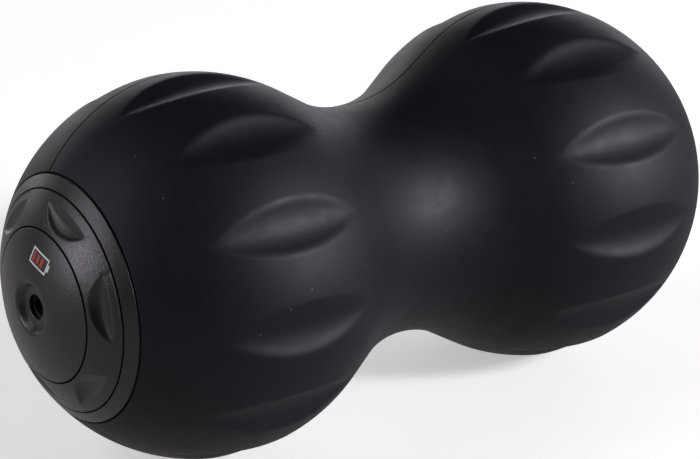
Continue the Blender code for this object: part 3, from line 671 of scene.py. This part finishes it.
def seam_columns():
    """Columns of half the skin, as (degrees from its first seam edge or None, distance from the seam
    plane or None, depth, whether it belongs to the last seam edge). The columns next to the seam are
    set by their distance. The seam is a groove, and below it the two halves butt together."""
    edge = [(0.0, SEAM_GROOVE), (SEAM_HALF_GAP, SEAM_GROOVE)]
    for degrees in (90.0, 60.0, 30.0, 0.0):
        turn = math.radians(degrees)
        edge.append((SEAM_HALF_GAP + SKIN_EDGE_R * (1 - math.sin(turn)),
                     SKIN_EDGE_R * (1 - math.cos(turn))))
    edge.append((SEAM_HALF_GAP + SKIN_EDGE_R + SKIN_SUPPORT, 0.0))

    wide = [COLUMN_WIDE * i for i in range(WIDE_COLUMNS)]
    fine_count = round((SCOOP_PITCH - 2 * COLUMN_FINE_FROM) / COLUMN_FINE) + 1
    fine = [COLUMN_FINE_FROM + COLUMN_FINE * i for i in range(fine_count)]
    one_pitch = wide + fine + [SCOOP_PITCH - a for a in wide[:0:-1]]
    angles = [k * SCOOP_PITCH + a for k in range(round(180 / SCOOP_PITCH)) for a in one_pitch]

    columns = [(None, distance, depth, False) for distance, depth in edge]
    columns += [(a, None, 0.0, False) for a in angles if COLUMN_SEAM_GAP < a < 180 - COLUMN_SEAM_GAP]
    columns += [(None, distance, depth, True) for distance, depth in edge[::-1]]
    return columns


def column_angles(columns, radii, first):
    """Angle round the axis of every column at each row, in degrees."""
    out = np.zeros((len(radii), len(columns)))
    for j, (angle, distance, _, last) in enumerate(columns):
        if angle is not None:
            out[:, j] = first + angle
            continue
        lean = np.degrees(np.arcsin(distance / radii))
        out[:, j] = first + 180 - lean if last else first + lean
    return out


def scoop_depth(ball_angle, around):
    """Depth of the leaf-shaped scoops at an angle along the ball and an angle round the axis."""
    t = (ball_angle - 90.0) / SCOOP_HALF_SPAN
    offset = (around - 90.0 + SCOOP_PITCH / 2) % SCOOP_PITCH - SCOOP_PITCH / 2
    side = np.radians(offset) * BALL_R / SCOOP_HALF_WIDTH
    taper = 1 - t * t
    blunt = np.maximum(taper, SCOOP_LEAST_TAPER) ** SCOOP_BLUNTNESS
    return soft_floor(SCOOP_DEPTH * (taper - side * side / blunt), SCOOP_RIM)


def skin_surface(rows, columns, first):
    """The outer points of half a skin, by row and column."""
    x, radius, normal_x, normal_r = (np.array([row[k] for row in rows]) for k in range(4))
    around = column_angles(columns, radius, first)
    depth = np.tile(np.array([c[2] for c in columns]), (len(rows), 1))
    for i, row in enumerate(rows):
        if row[4] is not None:
            depth[i] += scoop_depth(row[4], around[i])
        elif abs(row[0]) > BALL_X:
            depth[i] = np.minimum(depth[i], SKIN_EDGE_R)
    return around_axis(x[:, None] - depth * normal_x[:, None],
                       radius[:, None] - depth * normal_r[:, None], np.radians(around))


def skin_lining(rows, columns, first):
    """The inner points of half a skin. Each row lies as far along the lining, for its length, as the
    same row along the outer surface."""
    half = half_outline(SKIN_T, math.degrees(math.asin(SKIN_BORE / (BALL_R - SKIN_T))))
    half = [(x, r) for x, r, *_ in half]
    lining = np.array(half + [(-x, r) for x, r in half[-2::-1]])
    inner, outer = travelled(lining), travelled(np.array([row[:2] for row in rows]))
    share = outer / outer[-1] * inner[-1]
    x = np.interp(share, inner, lining[:, 0])
    radius = np.interp(share, inner, lining[:, 1])
    turn = np.radians(column_angles(columns, radius, first))
    return around_axis(x[:, None], radius[:, None], turn)


def skin_faces(tall, wide, kept):
    """Faces of half a skin. Its outer points come first, in tall rows of wide columns. The lining
    has the same rows, and only the kept columns."""
    narrow = len(kept)
    base = tall * wide
    faces = []
    for i in range(tall - 1):
        low, high = i * wide, (i + 1) * wide
        faces += [(low + j, low + j + 1, high + j + 1, high + j) for j in range(wide - 1)]
        inner_low, inner_high = base + i * narrow, base + (i + 1) * narrow
        faces += [(inner_low + j, inner_high + j, inner_high + j + 1, inner_low + j + 1)
                  for j in range(narrow - 1)]
        for j, k in ((0, 0), (wide - 1, narrow - 1)):
            faces.append((low + j, high + j, inner_high + k, inner_low + k))
    for row in (0, tall - 1):
        for k in range(narrow - 1):
            start, end = kept[k], kept[k + 1]
            half = (start + end) // 2
            a, b = base + row * narrow + k, base + row * narrow + k + 1
            for j in range(start, end):
                faces.append((row * wide + j, row * wide + j + 1, a if j < half else b))
            faces.append((row * wide + half, b, a))
    return faces


def skin(node_name, first):
    """One half of the silicone skin, from its seam edge at the angle first to half a turn on."""
    rows = skin_rows()
    columns = seam_columns()
    last_column = len(columns) - 1
    kept = sorted({*range(0, len(columns), LINING_EVERY), last_column})
    outer = skin_surface(rows, columns, first)
    inner = skin_lining(rows, [columns[j] for j in kept], first)
    points = np.concatenate([outer.reshape(-1, 3), inner.reshape(-1, 3)])
    faces = skin_faces(len(rows), len(columns), kept)
    stands_for(new_object(node_name + "_look", points, faces), node_name)


skin("front_skin", SEAM_ANGLE - 180)
skin("rear_skin", SEAM_ANGLE)


# --- End caps --------------------------------------------------------------------------------

def bezel(side, label):
    """The ring that holds the skins' bores, with a flange inside it for its three screws."""
    corners = rim(BEZEL_BORE) + dome(BALL_R, BEZEL_BORE, BEZEL_R, 6) + rim(BEZEL_R)
    corners += backs([(LAND_TOP, BEZEL_R), (LAND_TOP, SKIRT_R), (FLANGE_BASE, SKIRT_R),
                      (FLANGE_BASE, FLANGE_BORE), (FLANGE_TOP, FLANGE_BORE),
                      (FLANGE_TOP, BEZEL_WEB_R), (WEB_TOP, BEZEL_WEB_R), (WEB_TOP, BEZEL_BORE)])
    made = lathe(label + "_bezel_look", side, rounded(corners), CAP_SEGMENTS)
    drilled(made, side, ring_of_holes(SCREW_CIRCLE, SCREW_ANGLES, SCREW_HOLE_R, SCREW_DRILL))
    stands_for(made, label + "_bezel_ring")


def dimple_depth(radius, angles):
    """Depth of the finger dimples: half moons whose outer edge follows the ring, and whose inner
    edge bows towards the axis. They are deepest near the inner edge."""
    pitch = 360.0 / DIMPLE_COUNT
    degrees = np.degrees(angles)
    offset = (degrees - DIMPLE_PHASE + pitch / 2) % pitch - pitch / 2
    t = offset / DIMPLE_HALF_ANGLE
    taper = np.clip(1 - t * t, DIMPLE_LEAST_TAPER, None)
    width = DIMPLE_WIDTH * taper ** DIMPLE_WIDTH_POWER
    share = (radius - DIMPLE_OUTER + width) / width
    fall = (1 - DIMPLE_DEEPEST) / DIMPLE_DEEPEST
    peak = DIMPLE_DEEPEST * (1 - DIMPLE_DEEPEST) ** fall
    inside = np.clip(share, 0, 1)
    floor = inside * (1 - inside) ** fall / peak
    outside = np.clip(-share, 0, None) / peak + DIMPLE_END_FALL * np.clip(np.abs(t) - 1, 0, None)
    return soft_floor(DIMPLE_DEPTH * (taper ** DIMPLE_DEPTH_POWER * floor - outside), DIMPLE_RIM)


def dimpled(height, radius, angles):
    """Moves one ring of the grip ring's outer face towards the ball's centre at the dimples."""
    off_edges = GRIP_BORE + DIMPLE_CLEAR <= radius[0] <= GRIP_R - DIMPLE_CLEAR
    if height[0] < DIMPLE_LOWEST or not off_edges:
        return height, radius
    reach = BALL_R - dimple_depth(radius, angles)
    return height * reach / BALL_R, radius * reach / BALL_R


def grip(side, label):
    """The ring that fingers turn, with a neck down to the hook that holds it behind the bezel."""
    corners = rim(GRIP_BORE) + dome(BALL_R, GRIP_BORE, GRIP_R, 30) + rim(GRIP_R)
    corners += backs([(GRIP_BASE, GRIP_R), (GRIP_BASE, GRIP_WEB_R)])
    corners += plain([(GRIP_NECK_TOP, GRIP_NECK_R)])
    corners += backs([(HOOK_BASE, GRIP_NECK_R), (HOOK_BASE, HOOK_R), (HOOK_TOP, HOOK_R)])
    corners += [(HOOK_TOP, GRIP_BORE, HOOK_EDGE)]
    made = lathe(label + "_grip_look", side, rounded(corners), GRIP_SEGMENTS, dimpled)
    stands_for(made, label + "_grip_ring")


def disc_back(tube):
    """The moulded back that both centre discs share, and then the given inner tube."""
    return [*backs([(DISC_SKIRT_BASE, DISC_R), (DISC_SKIRT_BASE, DISC_SKIRT_BORE)]),
            (rise(DISC_BACK_R, DISC_SKIRT_BORE), DISC_SKIRT_BORE, SOFT_EDGE),
            (rise(DISC_BACK_R, BOSS_R), BOSS_R, SOFT_EDGE),
            *backs([(FLANGE_BASE, BOSS_R), (FLANGE_BASE, BOSS_BORE)]),
            (rise(DISC_BACK_R, BOSS_BORE), BOSS_BORE, SOFT_EDGE), *tube]


def port_disc():
    """The centre disc with the charging hole in its dish, and a collar behind it for the jack."""
    corners = [(DISH_FLOOR, HOLE_R, HOLE_EDGE), (DISH_FLOOR, DISH_MIDDLE_R, 0),
               (DISH_FLOOR, DISH_FLOOR_R, SOFT_EDGE)]
    corners += rim(DISH_R, DISH_EDGE) + dome(BALL_R, DISH_R + DISH_EDGE, DISC_R, 14) + rim(DISC_R)
    collar = backs([(COLLAR_TOP, COLLAR_R), (COLLAR_BASE, COLLAR_R), (COLLAR_BASE, COLLAR_BORE),
                    (HOLE_LIP_BASE, COLLAR_BORE)])
    corners += disc_back(collar + [(HOLE_LIP_BASE, HOLE_R, HOLE_LIP_EDGE)])
    made = lathe("port_disc_look", PORT, rounded(corners), CAP_SEGMENTS)
    drilled(made, PORT, ring_of_holes(DISC_SCREW_CIRCLE, DISC_SCREW_ANGLES, PILOT_R, PILOT_DRILL))
    stands_for(made, "port_disc")


def control_disc():
    """The centre disc with the button's seat, its guide, and four holes for the light pipes."""
    seat_bore = BUTTON_R + BUTTON_GAP
    corners = [(SEAT_EDGE_TOP, seat_bore, BACK_EDGE), *plain(SEAT_SLOPE)]
    corners += rim(SEAT_R, 0) + dome(BALL_R, SEAT_R, DISC_R, 14) + rim(DISC_R)
    corners += disc_back(backs([(GUIDE_TOP, GUIDE_R), (GUIDE_BASE, GUIDE_R), (GUIDE_BASE, seat_bore)]))
    made = lathe("control_disc_look", SWITCH, rounded(corners), CAP_SEGMENTS)
    holes = ring_of_holes(DISC_SCREW_CIRCLE, DISC_SCREW_ANGLES, PILOT_R, PILOT_DRILL)
    holes += ring_of_holes(PIPE_CIRCLE, PIPE_ANGLES, PIPE_R + PIPE_GAP, PIPE_DRILL)
    drilled(made, SWITCH, holes)
    stands_for(made, "control_disc")


def button():
    """The power button: a crowned cup with a stem down to the tact switch."""
    corners = plain(BUTTON_CROWN) + [(BUTTON_SHOULDER, BUTTON_R, BUTTON_EDGE)]
    corners += backs([(BUTTON_BASE, BUTTON_R), (BUTTON_BASE, BUTTON_WALL_R)])
    corners += [(BUTTON_ROOF, BUTTON_WALL_R, SOFT_EDGE), (BUTTON_ROOF, STEM_R, SOFT_EDGE),
                (STEM_END, STEM_R, SOFT_EDGE), (STEM_END, 0, 0)]
    stands_for(lathe("power_button_look", SWITCH, rounded(corners), 160), "power_button")


for end, end_label in ((PORT, "port"), (SWITCH, "switch")):
    bezel(end, end_label)
    grip(end, end_label)
port_disc()
control_disc()
button()


# --- Inlet, light pipes and spring -----------------------------------------------------------

def jack():
    """The charging jack's body, a cup with its mouth behind the hole, and the pin in the cup."""
    corners = [(JACK_FLOOR, 0, 0), (JACK_FLOOR, JACK_BORE, BACK_EDGE),
               (JACK_TOP, JACK_BORE, JACK_EDGE), (JACK_TOP, JACK_R, JACK_EDGE),
               (JACK_BASE, JACK_R, SOFT_EDGE), (JACK_BASE, 0, 0)]
    stands_for(lathe("jack_body_look", PORT, rounded(corners), 96), "jack_body")
    corners = plain(PIN_TIP) + [(PIN_BASE, PIN_R, PIN_EDGE), (PIN_BASE, 0, 0)]
    stands_for(lathe("jack_pin_look", PORT, rounded(corners), 48), "jack_pin")


def light_pipe(number, angle):
    """A round light pipe with a shallow dome on its shown end and a chamfer on the other."""
    chamfer_height, chamfer_width = PIPE_CHAMFER
    outline = [*PIPE_TIP, (PIPE_BASE + chamfer_height, PIPE_R), (PIPE_BASE, PIPE_R - chamfer_width),
               (PIPE_BASE, 0)]
    made = lathe(f"light_pipe_{number}_look", SWITCH, outline, 32)
    offset = spot_at(SWITCH, 0, PIPE_CIRCLE, angle) - spot_at(SWITCH, 0, 0, 0)
    made.data.transform(Matrix.Translation(offset * MM))
    stands_for(made, f"light_pipe_{number}")


def spring():
    """The button's return spring: round wire wound along X, with flat wire ends."""
    count = SPRING_TURNS * SPRING_STEPS + 1
    length = SPRING_TOP - SPRING_BASE
    points = []
    for i in range(count):
        turn = 2 * math.pi * i / SPRING_STEPS
        out = Vector((0, -math.cos(turn), math.sin(turn)))
        along = BALL_X + SPRING_BASE + length * i / (count - 1)
        middle = Vector((along, 0, 0)) + out * SPRING_R
        lead = Vector((length / SPRING_TURNS, 2 * math.pi * SPRING_R * math.sin(turn),
                       2 * math.pi * SPRING_R * math.cos(turn))).normalized()
        up = lead.cross(out).normalized()
        for k in range(SPRING_SIDES):
            a = 2 * math.pi * k / SPRING_SIDES
            points.append(middle + (out * math.cos(a) + up * math.sin(a)) * SPRING_WIRE_R)
    ends = range(SPRING_SIDES), range((count - 1) * SPRING_SIDES, count * SPRING_SIDES)
    faces = [tuple(ends[0])[::-1], tuple(ends[1])]
    for i in range(count - 1):
        low, high = i * SPRING_SIDES, (i + 1) * SPRING_SIDES
        for k in range(SPRING_SIDES):
            after = (k + 1) % SPRING_SIDES
            faces.append((low + k, low + after, high + after, high + k))
    made = stands_for(new_object("button_spring_look", points, faces), "button_spring")
    held_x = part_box("button_spring")[0].x
    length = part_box("button_spring")[1].x - held_x
    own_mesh(made)


jack()
for index, pipe_angle in enumerate(PIPE_ANGLES, 1):
    light_pipe(index, pipe_angle)
spring()


# --- Printed marks ---------------------------------------------------------------------------

INK_PROUD = 0.03
INK_SUNK = 0.25
STROKE = 0.24

BATTERY_W = 7.8
BATTERY_H = 4.2
BATTERY_TIP = (0.7, 1.0, 0.36)
LEVEL_COUNT = 3
LEVEL_PITCH = 2.0
LEVEL_INSET = (1.3, 0.75)
LEVEL_HALF = 0.62
MARK_AT = (15.4, 80.0)
MARK_UP = 76.0

POWER_R = 2.3
POWER_GAP = 38
POWER_STEPS = 40
POWER_BAR = ((0, 1.1), (0, 3.1))


def printed(name, side, surface_height, strokes, centre, upright, surface, body):
    """Thin ink strokes that follow a turned surface. Each stroke is a list of (x, y, half width)
    points in the mark's own plane, where y is up. The centre is (radius, angle), upright is the
    angle the mark's top points to, and surface_height gives the surface's height at a radius."""
    middle = spot_at(side, 0, *centre)
    up = (spot_at(side, 0, 1, upright) - spot_at(side, 0, 0, 0)).normalized()
    right = up.cross(Vector((side, 0, 0))).normalized()
    points = []
    faces = []
    for stroke in strokes:
        start = len(points)
        count = len(stroke)
        for i, (x, y, half) in enumerate(stroke):
            before = Vector(stroke[max(i - 1, 0)][:2])
            after = Vector(stroke[min(i + 1, count - 1)][:2])
            way = (after - before).normalized()
            across = Vector((-way.y, way.x)) * half
            for way_side in (1, -1):
                flat = middle + right * (x + across.x * way_side) + up * (y + across.y * way_side)
                top = surface_height(math.hypot(flat.y, flat.z))
                for lift in (INK_PROUD, -INK_SUNK):
                    points.append((side * (BALL_X + top + lift), flat.y, flat.z))
        for i in range(count - 1):
            a, b = start + 4 * i, start + 4 * (i + 1)
            faces += [(a, a + 2, b + 2, b), (a + 1, b + 1, b + 3, a + 3), (a, b, b + 1, a + 1),
                      (a + 2, a + 3, b + 3, b + 2)]
        last = start + 4 * (count - 1)
        faces += [(start, start + 1, start + 3, start + 2), (last, last + 2, last + 3, last + 1)]
    made = new_object(name, points, faces)
    made.data.materials.append(surface)
    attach(made, body)


def straight(start, end, half=STROKE, steps=6):
    """A straight stroke of the mark, as (x, y, half width) points."""
    return [(start[0] + (end[0] - start[0]) * i / steps, start[1] + (end[1] - start[1]) * i / steps,
             half) for i in range(steps + 1)]


def ball_surface(radius):
    return rise(BALL_R, radius)


def button_surface(radius):
    heights = [height for height, _ in BUTTON_CROWN]
    radii = [at_radius for _, at_radius in BUTTON_CROWN]
    return float(np.interp(radius, radii, heights))


def battery_mark():
    """A battery-level icon above the charging hole: a white outline with three red levels."""
    w, h = BATTERY_W / 2, BATTERY_H / 2
    outline = [straight((-w, y), (w, y), steps=8) for y in (h, -h)]
    outline += [straight((x, -h - STROKE), (x, h + STROKE)) for x in (-w, w)]
    tip_x, tip_y, tip_half = BATTERY_TIP
    outline += [straight((w + tip_x, -tip_y), (w + tip_x, tip_y), tip_half)]
    levels = []
    for i in range(LEVEL_COUNT):
        x = -w + LEVEL_INSET[0] + LEVEL_PITCH * i
        y = h - LEVEL_INSET[1]
        levels.append(straight((x, -y), (x, y), LEVEL_HALF))
    for name, strokes, ink_look in (("charge_mark_outline", outline, WHITE_INK),
                                    ("charge_mark_levels", levels, RED_INK)):
        printed(name, PORT, ball_surface, strokes, MARK_AT, MARK_UP, ink_look, "body")


def power_mark():
    """The usual power symbol on the button: an open ring and a bar."""
    turns = np.radians(np.linspace(POWER_GAP, 360 - POWER_GAP, POWER_STEPS))
    ring = [(POWER_R * math.sin(turn), POWER_R * math.cos(turn), STROKE) for turn in turns]
    printed("power_mark", SWITCH, button_surface, [ring, straight(*POWER_BAR)], (0.0, 90.0), 90.0,
            WHITE_INK, BODY_OF_NODE["power_button"])


battery_mark()
power_mark()


# --- Room, light and camera ------------------------------------------------------------------

# Floor, lamps and world. Lengths here are in metres.
FLOOR_SIZE = 12.0
FLOOR_GAP = 0.0001
FLOOR_GLOW = 0.46
LAMP_COLOUR = (0.975, 0.975, 1.03)
LAMP_DISTANCE = 1.8

# Brightness of the world: what the camera sees more of, and what lights the roller. It goes from
# WORLD_ABOVE at the horizon to WORLD_BELOW where a direction's Z is FULL_BELOW.
WORLD_SEEN = 0.9
WORLD_ABOVE = 0.012
WORLD_BELOW = 0.36
FULL_BELOW = -0.25
WORLD_COLOUR = (1.03, 1.0, 1.02, 1.0)

# Soft boxes: name, azimuth from -Y towards +X, elevation, width, height and power
SOFT_BOXES = (
    ("key", 36.0, 24.0, 0.34, 0.34, 27.5),
    ("key_low", 33.0, 12.0, 0.45, 0.34, 5.6),
    ("key_low_right", 60.0, 12.0, 0.34, 0.34, 2.0),
    ("right_low", 72.0, 8.0, 0.75, 0.6, 1.8),
    ("right_fill", 96.0, 24.0, 0.75, 0.6, 0.9),
    ("left_high", 255.0, 46.0, 0.4, 0.4, 1.6),
    ("left_middle", 255.0, 28.0, 0.4, 0.4, 2.2),
    ("left_low", 255.0, 10.0, 0.4, 0.4, 6.6),
    ("back_left_high", 225.0, 46.0, 0.4, 0.4, 1.8),
    ("back_left_middle", 240.0, 28.0, 0.4, 0.4, 1.8),
    ("back_left_low", 240.0, 10.0, 0.4, 0.4, 1.2),
    ("back_192", 192.0, 8.0, 0.75, 0.6, 1.7),
    ("back_168", 168.0, 8.0, 0.75, 0.6, 3.1),
    ("back_144", 144.0, 8.0, 0.75, 0.6, 3.4),
    ("back_120", 120.0, 8.0, 0.75, 0.6, 2.7),
)

# The camera looks at the roller from its charging end, a little above, as the photograph does.
# Lengths here are in millimetres, apart from CAMERA_REACH, in metres.
SENSOR = 36.0
LENS = 133.76
CAMERA_AZIMUTH = -37.963
CAMERA_ELEVATION = 19.985
CAMERA_DISTANCE = 14.0872 * BALL_R
CAMERA_REACH = 50.0
AIM_RIGHT = -0.08325 * BALL_R
AIM_UP = -0.05232 * BALL_R
ROLL_IN_PLACE = 2.0


def direction(azimuth, elevation):
    """The unit vector that points this way, in degrees from -Y towards +X and up."""
    a, e = math.radians(azimuth), math.radians(elevation)
    return Vector((math.sin(a) * math.cos(e), -math.cos(a) * math.cos(e), math.sin(e)))


def paper_floor():
    """A wide sheet of pale paper. Only the camera sees it: the light that it would bounce up comes
    from the lower half of the world."""
    bpy.ops.mesh.primitive_grid_add(x_subdivisions=8, y_subdivisions=8, size=FLOOR_SIZE,
                                    location=(0, 0, CAD_LOW.z - FLOOR_GAP))
    floor = bpy.context.object
    floor.name = "floor"
    paper = Surface("look_paper")
    paper.feed("Base Color", paper.blend(paper.remap(paper.noise(220.0), 0.0, 1.0),
                                         (0.88, 0.88, 0.85), (0.9, 0.9, 0.87)))
    paper.feed("Roughness", paper.remap(paper.noise(40.0), 0.75, 0.85))
    paper.shader.inputs["Emission Color"].default_value = (1.0, 1.0, 1.0, 1.0)
    paper.shader.inputs["Emission Strength"].default_value = FLOOR_GLOW
    floor.data.materials.append(paper.made)
    floor.visible_diffuse = False
    floor.visible_glossy = False
    floor.visible_transmission = False
    floor.visible_shadow = False


def soft_box(label, azimuth, elevation, wide, tall, power):
    """One rectangular lamp, aimed at the middle of the roller."""
    data = bpy.data.lights.new(label, "AREA")
    data.shape = "RECTANGLE"
    data.size = wide
    data.size_y = tall
    data.energy = power
    data.color = LAMP_COLOUR
    lamp = bpy.data.objects.new(label, data)
    towards = direction(azimuth, elevation)
    lamp.location = towards * LAMP_DISTANCE
    lamp.rotation_euler = towards.to_track_quat("Z", "Y").to_euler()
    bpy.context.scene.collection.objects.link(lamp)


def studio_world():
    """A world that lights the roller from below only. The camera sees it pale all round, as a studio
    backdrop."""
    world = bpy.data.worlds.new("studio")
    world.use_nodes = True
    nodes, links = world.node_tree.nodes, world.node_tree.links
    split = nodes.new("ShaderNodeSeparateXYZ")
    links.new(nodes.new("ShaderNodeTexCoord").outputs["Generated"], split.inputs["Vector"])
    horizon = nodes.new("ShaderNodeMapRange")
    horizon.inputs["From Min"].default_value = 0.0
    horizon.inputs["From Max"].default_value = FULL_BELOW
    horizon.inputs["To Min"].default_value = WORLD_ABOVE
    horizon.inputs["To Max"].default_value = WORLD_BELOW
    links.new(split.outputs["Z"], horizon.inputs["Value"])
    seen = nodes.new("ShaderNodeMath")
    seen.operation = "MULTIPLY_ADD"
    seen.inputs[1].default_value = WORLD_SEEN
    links.new(nodes.new("ShaderNodeLightPath").outputs["Is Camera Ray"], seen.inputs[0])
    links.new(horizon.outputs["Result"], seen.inputs[2])
    background = nodes["Background"]
    links.new(seen.outputs["Value"], background.inputs["Strength"])
    background.inputs["Color"].default_value = WORLD_COLOUR
    bpy.context.scene.world = world
    bpy.context.scene.view_settings.view_transform = "Standard"


def photo_camera():
    """The camera, at the photograph's angle. The roller lies ROLL_IN_PLACE degrees round its axis
    from how it was photographed, so the camera is turned round that axis with it."""
    back = direction(CAMERA_AZIMUTH, CAMERA_ELEVATION)
    azimuth = math.radians(CAMERA_AZIMUTH)
    right = Vector((math.cos(azimuth), math.sin(azimuth), 0))
    up = back.cross(right)
    turned = Matrix.Rotation(-math.radians(ROLL_IN_PLACE), 3, "X")
    spot = turned @ (back * CAMERA_DISTANCE + right * AIM_RIGHT + up * AIM_UP) * MM
    axes = Matrix((turned @ right, turned @ up, turned @ back)).transposed().to_4x4()
    lens = bpy.data.cameras.new("camera")
    lens.sensor_width = SENSOR
    lens.lens = LENS
    lens.clip_end = CAMERA_REACH
    camera = bpy.data.objects.new("camera", lens)
    camera.matrix_world = Matrix.Translation(spot) @ axes
    bpy.context.scene.collection.objects.link(camera)
    bpy.context.scene.camera = camera


paper_floor()
for box in SOFT_BOXES:
    soft_box(*box)
studio_world()
photo_camera()
